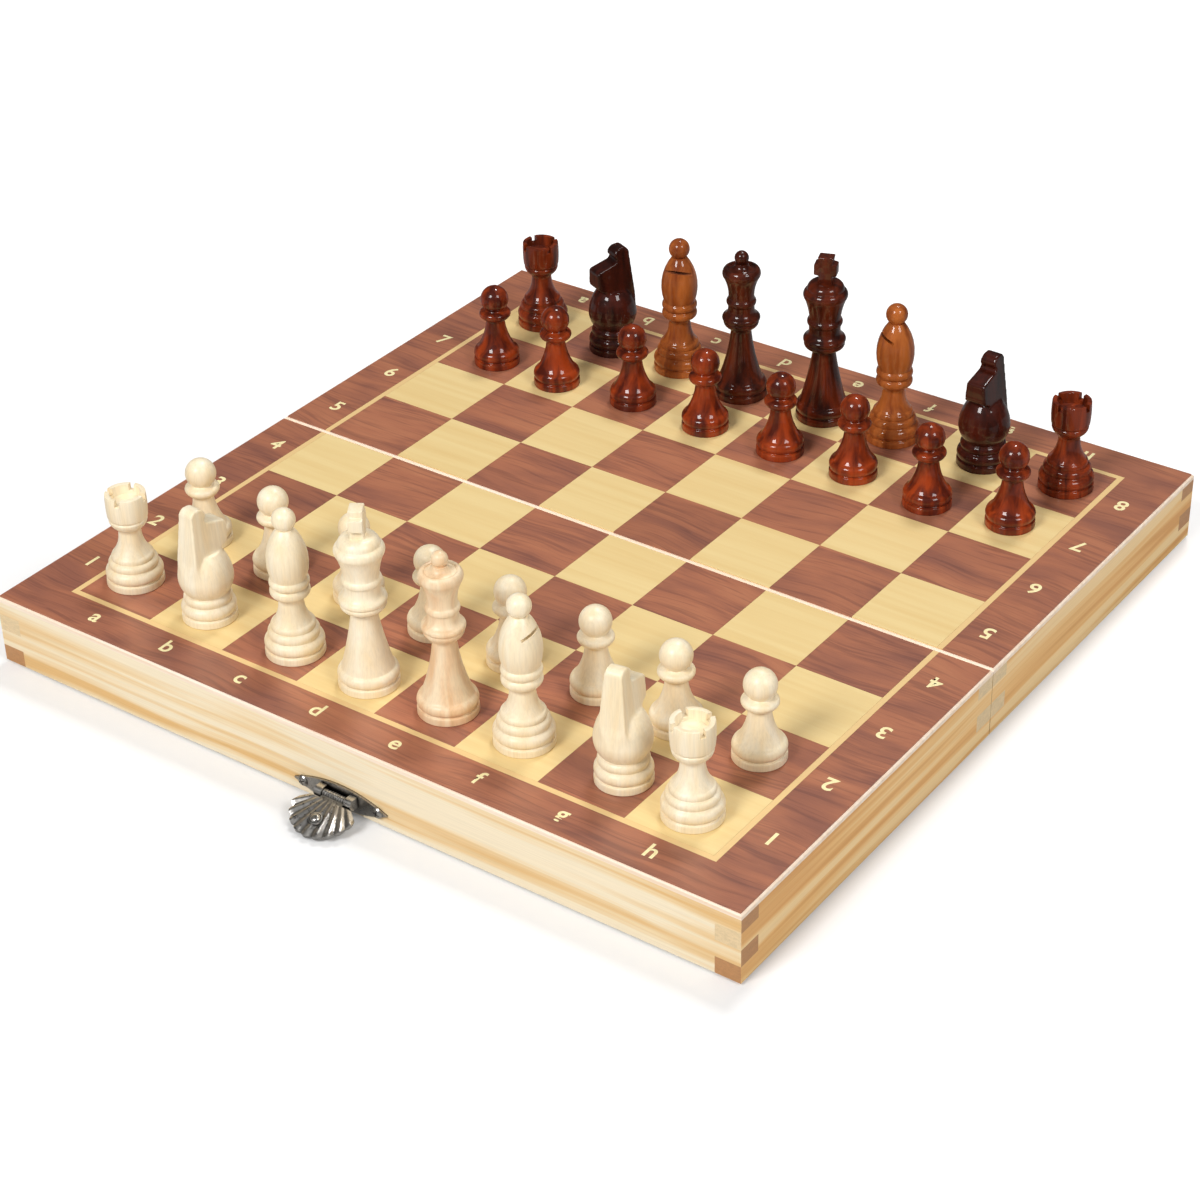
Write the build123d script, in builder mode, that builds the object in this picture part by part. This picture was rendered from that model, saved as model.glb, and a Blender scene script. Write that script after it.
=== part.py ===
from build123d import *
import os
from math import cos, radians, sin, sqrt

# Driving sizes in millimetres. The board lies open and flat: X runs along the fold from file a
# to file h, Y runs from rank 1 to rank 8, and Z is up from the plane of the rims.

# Playing surface
square = 30.0
files = 8
ranks_per_half = 4
veneer_joint = 0.06
frame_line = 2.0
side_border = 18.0
end_border = 15.0
veneer_thickness = 0.4
rim_inset = 0.7
fold_inset = 0.9
fold_gap = 0.3

# Case
panel_thickness = 1.6
panel_chamfer = 0.4
rail_thickness = 8.5
finger_height = 5.8
top_finger_height = 4.6
steel_thickness = 0.5
steel_clearance = 0.3
lining_thickness = 0.9
lining_clearance = 0.15
lining_drop = 6.0

# Hinges, let into the two rails that meet at the fold
hinge_spread = 168.0
knuckle_length = 6.0
knuckle_gap = 0.12
knuckle_radius = 0.8
hinge_pin_radius = 0.35
hinge_pin_clearance = 0.05
leaf_thickness = 0.8
leaf_reach = 7.2
leaf_clearance = 0.06

# Latch and keeper
plate_length = 35.5
plate_height = 8.0
plate_thickness = 0.8
plate_centre_height = 4.5
latch_axis_height = 5.4
latch_axis_offset = 2.6
cheek_width = 2.6
cheek_radius = 1.8
barrel_length = 8.4
barrel_radius = 1.3
barrel_gap = 0.15
latch_pin_radius = 0.6
latch_pin_clearance = 0.05
lever_reach = 15.2
lever_thickness = 0.9
lever_neck = 2.2
fan_focus = 4.2
fan_half_angle = 50.0
fan_shortening = 0.28
flutes = 9
scallop_depth = 0.7
flute_foot = 0.35
flute_tip = 0.95
flute_start = 3.2
boss_reach = 9.4
boss_radius = 2.1
boss_height = 0.9
boss_slope = 25.0
table_gap = 0.2
keeper_length = 15.0
keeper_height = 6.8
keeper_thickness = 0.6
keeper_stud_radius = 1.1
keeper_stud_height = 0.6

# Foot of every man: a turned disc, groove and torus, with a magnet let in flush from below
magnet_radius = 4.5
magnet_height = 2.4
magnet_clearance = 0.05
disc_height = 2.6
groove_depth = 0.7
groove_height = 0.4
torus_height = 3.4
torus_bulge = 0.1
torus_bulge_height = 1.2
torus_step = 1.3

# The men's outlines above the foot, in (radius, height) points going up. One point ends a
# straight stretch, and two points are an arc that passes the first and ends at the second.
pawn_foot = 8.2
pawn_outline = [
    [(4.6, 11.0), (3.4, 17.0)],
    [(5.6, 19.2)],
    [(4.9, 20.8)],
]
pawn_ball = 5.0
pawn_height = 30.0

rook_foot = 9.2
rook_outline = [
    [(7.5, 8.8), (6.2, 10.4)],
    [(4.2, 14.6), (3.7, 18.4)],
    [(4.8, 20.8), (6.1, 23.6)],
    [(6.4, 24.1)],
    [(6.4, 32.4)],
    [(4.9, 32.4)],
    [(4.5, 29.2)],
    [(0, 29.2)],
]
rook_notch_width = 1.7
rook_notch_floor = 30.2

bishop_foot = 9.3
bishop_outline = [
    [(7.6, 9.0), (6.7, 10.6)],
    [(4.6, 14.4), (3.9, 17.8)],
    [(6.0, 21.0)],
    [(6.0, 23.2)],
    [(5.3, 23.6)],
    [(6.0, 24.0)],
    [(5.9, 26.4)],
    [(6.4, 33.4), (2.6, 43.7)],
]
bishop_ball = 3.7
bishop_height = 50.4
bishop_slot = 0.9
bishop_slot_slope = 29.0
bishop_slot_height = 37.0
bishop_slot_bottom = 2.4

knight_foot = 8.7
knight_outline = [
    [(6.9, 9.0)],
    [(8.6, 16.0), (8.3, 22.0)],
    [(8.3, 42.6)],
    [(0, 42.6)],
]
knight_mane = [(-9.4, 18.0), (-8.0, 21.0), (-6.4, 39.6)]
knight_crest = (-4.5, 42.3)
knight_face = [
    (-1.0, 42.0),
    (1.1, 40.2),
    (1.6, 36.4),
    (6.6, 33.4),
    (7.6, 32.0),
    (7.4, 26.6),
    (6.6, 25.4),
    (3.9, 24.2),
    (7.6, 20.4),
    (9.4, 18.0),
]
knight_flank = [(8.6, 16.0), (5.7, 19.6), (4.5, 23.0)]
knight_top_half_width = 3.4

queen_foot = 9.3
queen_outline = [
    [(5.3, 14.6), (3.6, 24.6)],
    [(6.2, 28.4)],
    [(6.5, 30.4)],
    [(4.7, 33.0)],
    [(5.1, 36.4)],
    [(4.4, 38.0)],
    [(5.0, 41.9), (6.4, 45.6)],
    [(6.5, 47.6)],
    [(5.4, 48.8)],
    [(4.0, 48.4)],
    [(2.9, 50.0)],
]
queen_ball = 2.5
queen_height = 55.0

king_foot = 9.4
king_outline = [
    [(5.7, 15.6), (3.9, 25.6)],
    [(6.9, 28.4)],
    [(7.2, 30.2)],
    [(5.5, 33.4)],
    [(6.0, 37.0)],
    [(5.4, 38.6)],
    [(6.1, 41.9), (7.3, 45.2)],
    [(7.4, 47.4)],
    [(6.5, 48.6)],
    [(4.7, 50.8), (2.0, 52.2)],
    [(0, 52.2)],
]
king_cross = [(2.6, 50.2), (2.0, 54.0), (3.7, 54.6), (3.7, 58.2), (2.0, 58.8), (2.5, 61.0)]
king_cross_thickness = 4.2

# Where each man stands: its kind, file and rank, how far off the middle of the square it was
# set down, and the way it faces in degrees from +X
places = {
    "white_rook_a": ("rook", "a", 1, -4.5, -0.5, 20),
    "white_knight_b": ("knight", "b", 1, -1.0, -2.5, 92),
    "white_bishop_c": ("bishop", "c", 1, 4.0, -2.5, 126),
    "white_king_d": ("king", "d", 1, 3.5, -3.0, 122),
    "white_queen_e": ("queen", "e", 1, 2.0, -1.0, 0),
    "white_bishop_f": ("bishop", "f", 1, 0.0, -1.0, 20),
    "white_knight_g": ("knight", "g", 1, 4.5, 0.0, 154),
    "white_rook_h": ("rook", "h", 1, 0.0, -3.0, 60),
    "white_pawn_a": ("pawn", "a", 2, -2.0, 0.5, 0),
    "white_pawn_b": ("pawn", "b", 2, -1.0, 0.0, 0),
    "white_pawn_c": ("pawn", "c", 2, 0.5, 2.0, 0),
    "white_pawn_d": ("pawn", "d", 2, 2.0, 0.0, 0),
    "white_pawn_e": ("pawn", "e", 2, 2.5, 0.0, 0),
    "white_pawn_f": ("pawn", "f", 2, 3.0, 1.0, 0),
    "white_pawn_g": ("pawn", "g", 2, 2.5, -0.5, 0),
    "white_pawn_h": ("pawn", "h", 2, 0.5, 0.5, 0),
    "black_rook_a": ("rook", "a", 8, -2.0, 1.5, 65),
    "black_knight_b": ("knight", "b", 8, 1.5, -1.0, 240),
    "black_bishop_c": ("bishop", "c", 8, 0.0, 0.0, 288),
    "black_queen_d": ("queen", "d", 8, -1.5, -4.0, 0),
    "black_king_e": ("king", "e", 8, 1.0, -2.0, 20),
    "black_bishop_f": ("bishop", "f", 8, -1.5, -1.5, 222),
    "black_knight_g": ("knight", "g", 8, 2.5, 0.0, 261),
    "black_rook_h": ("rook", "h", 8, 3.0, 1.5, 80),
    "black_pawn_a": ("pawn", "a", 7, 2.5, -2.5, 0),
    "black_pawn_b": ("pawn", "b", 7, 0.0, -3.5, 0),
    "black_pawn_c": ("pawn", "c", 7, 0.5, 0.0, 0),
    "black_pawn_d": ("pawn", "d", 7, 1.5, -1.0, 0),
    "black_pawn_e": ("pawn", "e", 7, 2.0, -1.0, 0),
    "black_pawn_f": ("pawn", "f", 7, 0.5, -0.5, 0),
    "black_pawn_g": ("pawn", "g", 7, 0.5, -3.5, 0),
    "black_pawn_h": ("pawn", "h", 7, -1.0, 0.5, 0),
}

# Worked out from the driving sizes
half_width = files * square / 2 + frame_line + side_border
fold_face = fold_gap / 2
first_rank = fold_face + fold_inset
last_rank = first_rank + ranks_per_half * square
half_depth = last_rank + frame_line + end_border
rail_height = 3 * finger_height + top_finger_height
veneer_bottom = rail_height + panel_thickness
board_top = veneer_bottom + veneer_thickness
inner_width = half_width - rail_thickness
inner_near = fold_face + rail_thickness
inner_far = half_depth - rail_thickness
leaf_width = 3 * knuckle_length
hinge_middles = (-hinge_spread / 2, hinge_spread / 2)
stud_height = boss_reach - latch_axis_height
halves = {"front": -1, "rear": 1}

os.makedirs("parts", exist_ok=True)


def finish(piece, name):
    piece.label = name
    export_step(piece, f"parts/{name}.step")


def slab(width, near, far, bottom, height, side):
    """A plain block between two distances from the fold."""
    with BuildPart() as block:
        with BuildSketch(Plane.XY.offset(bottom)):
            with Locations((0, side * (near + far) / 2)):
                Rectangle(width, far - near)
        extrude(amount=height)
    return block


# Rails, finger-jointed at every corner


def cross_rail(near, side):
    """A rail along X. Its end fingers fill the second and the top level."""
    corner_x = half_width - rail_thickness / 2
    middle = side * (near + rail_thickness / 2)
    with BuildPart() as rail:
        with BuildSketch(Plane.XY):
            with Locations((0, middle)):
                Rectangle(2 * half_width, rail_thickness)
        extrude(amount=rail_height)
        for level in (0, 2):
            with BuildSketch(Plane.XY.offset(level * finger_height)):
                with Locations((-corner_x, middle), (corner_x, middle)):
                    Rectangle(rail_thickness, rail_thickness)
            extrude(amount=finger_height, mode=Mode.SUBTRACT)
    return rail


def side_rail(x_side, side):
    """A rail along Y. Its end fingers fill the bottom and the third level."""
    middle = x_side * (half_width - rail_thickness / 2)
    ends = [fold_face + rail_thickness / 2, half_depth - rail_thickness / 2]
    with BuildPart() as rail:
        with BuildSketch(Plane.XY):
            with Locations((middle, side * (fold_face + half_depth) / 2)):
                Rectangle(rail_thickness, half_depth - fold_face)
        extrude(amount=rail_height)
        for level, height in ((1, finger_height), (3, top_finger_height)):
            with BuildSketch(Plane.XY.offset(level * finger_height)):
                with Locations(*[(middle, side * end) for end in ends]):
                    Rectangle(rail_thickness, rail_thickness)
            extrude(amount=height, mode=Mode.SUBTRACT)
    return rail


def hinge_rail(side):
    """The cross rail at the fold, with beds for the leaves and hollows for the knuckles."""
    rail = cross_rail(fold_face, side)
    bed_width = leaf_width + 2 * leaf_clearance
    with BuildPart() as bedded:
        add(rail.part)
        for x in hinge_middles:
            with BuildSketch(Plane.XY):
                with Locations((x, side * leaf_reach / 2)):
                    Rectangle(bed_width, leaf_reach + 2 * leaf_clearance)
            extrude(amount=leaf_thickness, mode=Mode.SUBTRACT)
            with BuildSketch(Plane.YZ.offset(x - bed_width / 2)):
                Circle(knuckle_radius + leaf_clearance)
            extrude(amount=bed_width, mode=Mode.SUBTRACT)
    return bedded


# Board of one half: panel, veneers, steel sheet and lining


def top_panel(side):
    panel = slab(2 * half_width, fold_face, half_depth, rail_height, panel_thickness, side)
    with BuildPart() as eased:
        add(panel.part)
        chamfer(eased.edges().group_by(Axis.Z)[-1], panel_chamfer)
    return eased


def tile_places(side, dark):
    """Middles of the squares of one colour. The first file's first square is dark."""
    middles = []
    for file in range(files):
        for step in range(ranks_per_half):
            rank = ranks_per_half + step if side > 0 else ranks_per_half - 1 - step
            if ((file + rank) % 2 == 0) == dark:
                x = (file - (files - 1) / 2) * square
                middles.append((x, side * (first_rank + (step + 0.5) * square)))
    return middles


def veneer(side, dark):
    """All the veneer of one colour on a half: its squares, and its band on three sides."""
    gap = veneer_joint / 2
    field_x = files * square / 2
    line_x = field_x + frame_line
    line_y = last_rank + frame_line
    if dark:
        inner = (line_x + gap, line_y + gap)
        outer = (half_width - rim_inset, half_depth - rim_inset)
    else:
        inner = (field_x + gap, last_rank + gap)
        outer = (line_x - gap, line_y - gap)
    with BuildPart() as sheet:
        with BuildSketch(Plane.XY.offset(veneer_bottom)):
            with Locations((0, side * (first_rank + outer[1]) / 2)):
                Rectangle(2 * outer[0], outer[1] - first_rank)
            with Locations((0, side * (first_rank + inner[1]) / 2)):
                Rectangle(2 * inner[0], inner[1] - first_rank, mode=Mode.SUBTRACT)
            with Locations(*tile_places(side, dark)):
                Rectangle(square - veneer_joint, square - veneer_joint)
        extrude(amount=veneer_thickness)
    return sheet


def steel_sheet(side):
    """The sheet that the magnets hold to, let in under the panel between the rails."""
    width = 2 * (inner_width - steel_clearance)
    near = inner_near + steel_clearance
    far = inner_far - steel_clearance
    return slab(width, near, far, rail_height - steel_thickness, steel_thickness, side)


def lining(side):
    """Felt over the steel sheet, turned down along the four rails."""
    width = 2 * (inner_width - lining_clearance)
    near = inner_near + lining_clearance
    far = inner_far - lining_clearance
    bottom = rail_height - steel_thickness - lining_thickness - lining_drop
    outer = slab(width, near, far, bottom, lining_thickness + lining_drop, side)
    skin = lining_thickness
    hollow = slab(width - 2 * skin, near + skin, far - skin, bottom, lining_drop, side)
    with BuildPart() as felt:
        add(outer.part)
        add(hollow.part, mode=Mode.SUBTRACT)
    return felt


# Hinges. Each has three knuckles on one pin, the outer two on the front leaf.


def hinge_leaves(side, knuckles):
    """Both hinges' leaves on one half, with their knuckles at these places along the pin."""
    clear = knuckle_radius + knuckle_gap
    length = knuckle_length - knuckle_gap
    with BuildPart() as leaves:
        for x in hinge_middles:
            with BuildSketch(Plane.XY):
                with Locations((x, side * (clear + leaf_reach) / 2)):
                    Rectangle(leaf_width, leaf_reach - clear)
            extrude(amount=leaf_thickness)
            for place in knuckles:
                with BuildSketch(Plane.YZ.offset(x + place * knuckle_length - length / 2)):
                    Circle(knuckle_radius)
                    with Locations((side * clear / 2, leaf_thickness / 2)):
                        Rectangle(clear, leaf_thickness)
                    Circle(hinge_pin_radius + hinge_pin_clearance, mode=Mode.SUBTRACT)
                extrude(amount=length)
    return leaves


def hinge_pins():
    length = leaf_width - knuckle_gap
    with BuildPart() as pins:
        for x in hinge_middles:
            with BuildSketch(Plane.YZ.offset(x - length / 2)):
                Circle(hinge_pin_radius)
            extrude(amount=length)
    return pins


# Latch on the front rail's outer face, and its keeper on the rear rail's

latch_y = -half_depth - latch_axis_offset
cheek_start = barrel_length / 2 + barrel_gap


def lens_plate(length, height, thickness, centre_height, side):
    """A thin plate with two pointed ends, flat against an outer rail's face."""
    face = Plane(origin=(0, side * half_depth, centre_height), z_dir=(0, side, 0), x_dir=(-side, 0, 0))
    with BuildPart() as plate:
        with BuildSketch(face):
            with BuildLine():
                ThreePointArc((-length / 2, 0), (0, height / 2), (length / 2, 0))
                ThreePointArc((length / 2, 0), (0, -height / 2), (-length / 2, 0))
            make_face()
        extrude(amount=thickness)
    return plate


def round_bar(start, length, radius):
    """A round bar along the latch's axis."""
    with BuildPart() as bar:
        with BuildSketch(Plane.YZ.offset(start)):
            with Locations((latch_y, latch_axis_height)):
                Circle(radius)
        extrude(amount=length)
    return bar


def latch_plate():
    """The base plate with the two cheeks that carry the lever's pin."""
    plate = lens_plate(plate_length, plate_height, plate_thickness, plate_centre_height, -1)
    pin_end = cheek_start + cheek_width
    hole = round_bar(-pin_end, 2 * pin_end, latch_pin_radius + latch_pin_clearance)
    with BuildPart() as base:
        add(plate.part)
        for start in (-pin_end, cheek_start):
            with BuildSketch(Plane.YZ.offset(start)):
                with Locations((latch_y, latch_axis_height)):
                    Circle(cheek_radius)
                with Locations((latch_y + latch_axis_offset / 2, latch_axis_height)):
                    Rectangle(latch_axis_offset, 2 * cheek_radius)
            extrude(amount=cheek_width)
        add(hole.part, mode=Mode.SUBTRACT)
    return base


def latch_pin():
    pin_end = cheek_start + cheek_width
    return round_bar(-pin_end, 2 * pin_end, latch_pin_radius)


def lever_face():
    """The lever's middle plane, sloping down until the shell's tip just clears the table."""
    fall = latch_axis_height - table_gap - lever_thickness / 2
    slope = fall / lever_reach
    upward = (0, -slope, sqrt(1 - slope**2))
    return Plane(origin=(0, latch_y, latch_axis_height), x_dir=(-1, 0, 0), z_dir=upward)


def fan_point(angle, extra=0.0):
    """A point on the shell's edge, which reaches furthest along its middle."""
    full = lever_reach + fan_focus
    radius = full * (1 - fan_shortening * (angle / fan_half_angle) ** 2) + extra
    return (radius * sin(radians(angle)), radius * cos(radians(angle)) - fan_focus)


def flute(face, angle):
    """A raised rib that widens from the shell's foot to its edge."""
    edge = fan_point(angle)
    share = (flute_start + fan_focus) / (edge[1] + fan_focus)
    foot = (edge[0] * share, flute_start)
    start = face.from_local_coords(Vector(*foot, lever_thickness / 2))
    end = face.from_local_coords(Vector(*edge, lever_thickness / 2))
    with BuildPart() as rib:
        with BuildSketch(Plane(origin=start, x_dir=face.z_dir, z_dir=end - start)):
            RegularPolygon(flute_foot, 4)
        with BuildSketch(Plane(origin=end, x_dir=face.z_dir, z_dir=end - start)):
            RegularPolygon(flute_tip, 4)
        loft()
    return rib


def latch_lever():
    """A scallop-shell lever: barrel, fan with a scalloped edge, flutes and a domed boss."""
    face = lever_face()
    step = 2 * fan_half_angle / flutes
    ribs = [flute(face, (n + 0.5) * step - fan_half_angle).part for n in range(flutes)]
    root = barrel_length / 2
    barrel = round_bar(-root, barrel_length, barrel_radius)
    bore = round_bar(-root, barrel_length, latch_pin_radius + latch_pin_clearance)
    with BuildPart() as lever:
        with BuildSketch(face.offset(-lever_thickness / 2)):
            with BuildLine():
                for n in range(flutes):
                    angle = n * step - fan_half_angle
                    crown = fan_point(angle + step / 2, scallop_depth)
                    ThreePointArc(fan_point(angle), crown, fan_point(angle + step))
                Polyline(
                    fan_point(fan_half_angle),
                    (root, lever_neck),
                    (root, 0),
                    (-root, 0),
                    (-root, lever_neck),
                    fan_point(-fan_half_angle),
                )
            make_face()
        extrude(amount=lever_thickness)
        for rib in ribs:
            add(rib)
        with BuildSketch(face.offset(lever_thickness / 2)):
            with Locations((0, boss_reach)):
                Circle(boss_radius)
        extrude(amount=boss_height, taper=boss_slope)
        add(barrel.part)
        add(bore.part, mode=Mode.SUBTRACT)
    return lever


def latch_keeper():
    """The plate and stud that the lever snaps over when the case is shut."""
    plate = lens_plate(keeper_length, keeper_height, keeper_thickness, stud_height, 1)
    top = Plane(origin=(0, half_depth + keeper_thickness, stud_height), z_dir=(0, 1, 0))
    with BuildPart() as keeper:
        add(plate.part)
        with BuildSketch(top):
            Circle(keeper_stud_radius)
        extrude(amount=keeper_stud_height)
    return keeper


# Chessmen. Each outline is drawn on an upright plane through the man's own axis, in heights
# above the playing surface, and turned about that axis.


def seat_of(name):
    """The plane a man stands on, with its X the way the man faces."""
    kind, file, rank, dx, dy, heading = places[name]
    x = ("abcdefgh".index(file) - (files - 1) / 2) * square + dx
    side = 1 if rank > ranks_per_half else -1
    steps = rank - ranks_per_half - 1 if side > 0 else ranks_per_half - rank
    y = side * (first_rank + (steps + 0.5) * square) + dy
    facing = (cos(radians(heading)), sin(radians(heading)), 0)
    return Plane(origin=(x, y, board_top), x_dir=facing, z_dir=(0, 0, 1))


def upright(seat):
    return Plane(origin=seat.origin, x_dir=seat.x_dir, z_dir=-seat.y_dir)


def ball_outline(radius, height):
    """The ball at the top of a man, from a third of the way under it to the axis."""
    centre = height - radius
    low = radians(-45)
    middle = radians(22)
    under = (radius * cos(low), centre + radius * sin(low))
    around = (radius * cos(middle), centre + radius * sin(middle))
    return [[under], [around, (0, height)]]


def turned(seat, foot, outline):
    """A solid turned about the seat's own upright axis, with a pocket for its magnet."""
    pocket = magnet_radius + magnet_clearance
    groove_top = disc_height + groove_height
    foot_outline = [
        (0, magnet_height),
        (pocket, magnet_height),
        (pocket, 0),
        (foot, 0),
        (foot, disc_height),
        (foot - groove_depth, groove_top),
        (foot - torus_bulge, groove_top + torus_bulge_height),
        (foot - torus_step, groove_top + torus_height),
    ]
    with BuildPart() as man:
        with BuildSketch(upright(seat)):
            with BuildLine():
                Polyline(*foot_outline)
                here = foot_outline[-1]
                for stretch in outline:
                    if len(stretch) == 1:
                        Line(here, stretch[0])
                    else:
                        ThreePointArc(here, *stretch)
                    here = stretch[-1]
                Line(here, foot_outline[0])
            make_face()
        revolve(axis=Axis(seat.origin, seat.z_dir))
    return man


def pawn(seat):
    return turned(seat, pawn_foot, pawn_outline + ball_outline(pawn_ball, pawn_height))


def rook(seat):
    """Two saw cuts across the hollow crown leave its four battlements."""
    body = turned(seat, rook_foot, rook_outline)
    with BuildPart() as man:
        add(body.part)
        with BuildSketch(seat.offset(rook_notch_floor)):
            Rectangle(3 * rook_foot, rook_notch_width)
            Rectangle(rook_notch_width, 3 * rook_foot)
        extrude(amount=rook_foot, mode=Mode.SUBTRACT)
    return man


def bishop(seat):
    """A slanting saw cut opens the mitre on the side that the man faces."""
    body = turned(seat, bishop_foot, bishop_outline + ball_outline(bishop_ball, bishop_height))
    slope = radians(bishop_slot_slope)
    saw = Plane(
        origin=seat.origin + seat.z_dir * bishop_slot_height,
        x_dir=seat.x_dir * cos(slope) + seat.z_dir * sin(slope),
        z_dir=seat.z_dir * cos(slope) - seat.x_dir * sin(slope),
    )
    with BuildPart() as man:
        add(body.part)
        with BuildSketch(saw.offset(-bishop_slot / 2)):
            with Locations((bishop_slot_bottom + bishop_foot, 0)):
                Rectangle(2 * bishop_foot, 2 * bishop_foot)
        extrude(amount=bishop_slot, mode=Mode.SUBTRACT)
    return man


def knight(seat):
    """A turned blank, cut to the horse's side outline and then to its width."""
    blank = turned(seat, knight_foot, knight_outline)
    wide = 2 * knight_foot
    front = Plane(origin=seat.origin, x_dir=seat.y_dir, z_dir=seat.x_dir)
    left_flank = [(-x, z) for x, z in knight_flank]
    with BuildPart() as man:
        add(blank.part)
        with BuildSketch(upright(seat)):
            with BuildLine():
                Polyline(*knight_mane)
                ThreePointArc(knight_mane[-1], knight_crest, knight_face[0])
                Polyline(*knight_face, (wide, 0), (-wide, 0), knight_mane[0])
            make_face()
        extrude(amount=wide, both=True, mode=Mode.INTERSECT)
        with BuildSketch(front):
            with BuildLine():
                ThreePointArc(*left_flank)
                Polyline(
                    left_flank[-1],
                    (-knight_top_half_width, knight_crest[1] + 1),
                    (knight_top_half_width, knight_crest[1] + 1),
                    knight_flank[-1],
                )
                ThreePointArc(*reversed(knight_flank))
                Polyline(
                    knight_flank[0],
                    (wide, knight_flank[0][1]),
                    (wide, 0),
                    (-wide, 0),
                    (-wide, left_flank[0][1]),
                    left_flank[0],
                )
            make_face()
        extrude(amount=wide, both=True, mode=Mode.INTERSECT)
    return man


def queen(seat):
    return turned(seat, queen_foot, queen_outline + ball_outline(queen_ball, queen_height))


def king(seat):
    """A flat cross with flared arms stands on the dome."""
    body = turned(seat, king_foot, king_outline)
    with BuildPart() as man:
        add(body.part)
        with BuildSketch(upright(seat)):
            with BuildLine():
                Polyline(*king_cross, *[(-x, z) for x, z in reversed(king_cross)], close=True)
            make_face()
        extrude(amount=king_cross_thickness / 2, both=True)
    return man


def foot_magnet(seat):
    with BuildPart() as magnet:
        with BuildSketch(seat):
            Circle(magnet_radius)
        extrude(amount=magnet_height)
    return magnet


makers = {
    "pawn": pawn,
    "rook": rook,
    "bishop": bishop,
    "knight": knight,
    "queen": queen,
    "king": king,
}

# Build and write every piece

for half, side in halves.items():
    finish(cross_rail(inner_far, side).part, f"{half}_outer_rail")
    finish(hinge_rail(side).part, f"{half}_hinge_rail")
    finish(side_rail(-1, side).part, f"{half}_left_rail")
    finish(side_rail(1, side).part, f"{half}_right_rail")
    finish(top_panel(side).part, f"{half}_panel")
    finish(veneer(side, True).part, f"{half}_dark_veneer")
    finish(veneer(side, False).part, f"{half}_light_veneer")
    finish(steel_sheet(side).part, f"{half}_steel_sheet")
    finish(lining(side).part, f"{half}_lining")

finish(hinge_leaves(-1, (-1, 1)).part, "front_hinge_leaves")
finish(hinge_leaves(1, (0,)).part, "rear_hinge_leaves")
finish(hinge_pins().part, "hinge_pins")
finish(latch_plate().part, "latch_plate")
finish(latch_pin().part, "latch_pin")
finish(latch_lever().part, "latch_lever")
finish(latch_keeper().part, "latch_keeper")

for name, place in places.items():
    maker = makers[place[0]]
    seat = seat_of(name)
    man = Compound(children=[maker(seat).part, foot_magnet(seat).part])
    finish(man, name)
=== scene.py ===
import math

import bmesh
import bpy
from mathutils import Matrix, Vector


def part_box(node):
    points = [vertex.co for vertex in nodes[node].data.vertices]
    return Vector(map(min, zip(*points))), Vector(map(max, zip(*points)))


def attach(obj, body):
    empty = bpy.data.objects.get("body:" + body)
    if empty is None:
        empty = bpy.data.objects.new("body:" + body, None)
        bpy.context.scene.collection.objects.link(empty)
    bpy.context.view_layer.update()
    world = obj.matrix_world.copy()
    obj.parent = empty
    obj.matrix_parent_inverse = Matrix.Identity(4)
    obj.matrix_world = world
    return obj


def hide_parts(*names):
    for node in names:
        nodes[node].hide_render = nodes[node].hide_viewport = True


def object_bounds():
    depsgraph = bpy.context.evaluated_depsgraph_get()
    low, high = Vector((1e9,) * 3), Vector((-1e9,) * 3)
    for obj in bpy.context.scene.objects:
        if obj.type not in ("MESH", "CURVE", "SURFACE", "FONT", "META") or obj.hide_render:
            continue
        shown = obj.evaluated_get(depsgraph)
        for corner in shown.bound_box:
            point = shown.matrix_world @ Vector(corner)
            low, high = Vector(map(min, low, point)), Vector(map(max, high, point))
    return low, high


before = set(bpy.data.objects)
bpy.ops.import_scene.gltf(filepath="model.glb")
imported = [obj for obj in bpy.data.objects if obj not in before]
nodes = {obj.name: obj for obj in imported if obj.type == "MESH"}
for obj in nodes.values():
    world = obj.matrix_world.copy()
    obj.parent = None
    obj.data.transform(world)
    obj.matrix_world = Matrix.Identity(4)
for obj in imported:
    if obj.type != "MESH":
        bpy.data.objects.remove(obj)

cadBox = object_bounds()
mm = 0.001


# Material helpers

def rgb(red, green, blue):
    # a screen colour, 0 to 255, as the linear values that the sockets take
    levels = [level / 255 for level in (red, green, blue)]
    return tuple(v / 12.92 if v <= 0.04045 else ((v + 0.055) / 1.055) ** 2.4 for v in levels) + (1,)


def newMaterial(name, sockets):
    material = bpy.data.materials.new(name)
    material.use_nodes = True
    shader = material.node_tree.nodes["Principled BSDF"]
    for socket, value in sockets.items():
        shader.inputs[socket].default_value = value
    return material, material.node_tree, shader


def addNode(tree, kind, inputs=None, **settings):
    node = tree.nodes.new("ShaderNode" + kind)
    for key, value in settings.items():
        setattr(node, key, value)
    for key, value in (inputs or {}).items():
        if isinstance(value, bpy.types.NodeSocket):
            tree.links.new(value, node.inputs[key])
        else:
            node.inputs[key].default_value = value
    return node


def calc(tree, operation, *values):
    return addNode(tree, "Math", dict(enumerate(values)), operation=operation).outputs[0]


def mixColour(tree, share, first, second, mode="MIX"):
    return addNode(tree, "Mix", {0: share, 6: first, 7: second}, data_type="RGBA", blend_type=mode).outputs[2]


def ramp(tree, value, stops):
    node = addNode(tree, "ValToRGB", {0: value})
    elements = node.color_ramp.elements
    elements[0].position, elements[0].color = stops[0]
    elements[1].position, elements[1].color = stops[-1]
    for place, colour in stops[1:-1]:
        elements.new(place).color = colour
    return node.outputs[0]


def level(value):
    return (value, value, value, 1)


def shaded(tree, share, colour, value, *stops):
    # colour times the grey that value picks from the stops, as (place, grey), to the given share
    greys = ramp(tree, value, [(place, level(grey)) for place, grey in stops])
    return mixColour(tree, share, colour, greys, "MULTIPLY")


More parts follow.
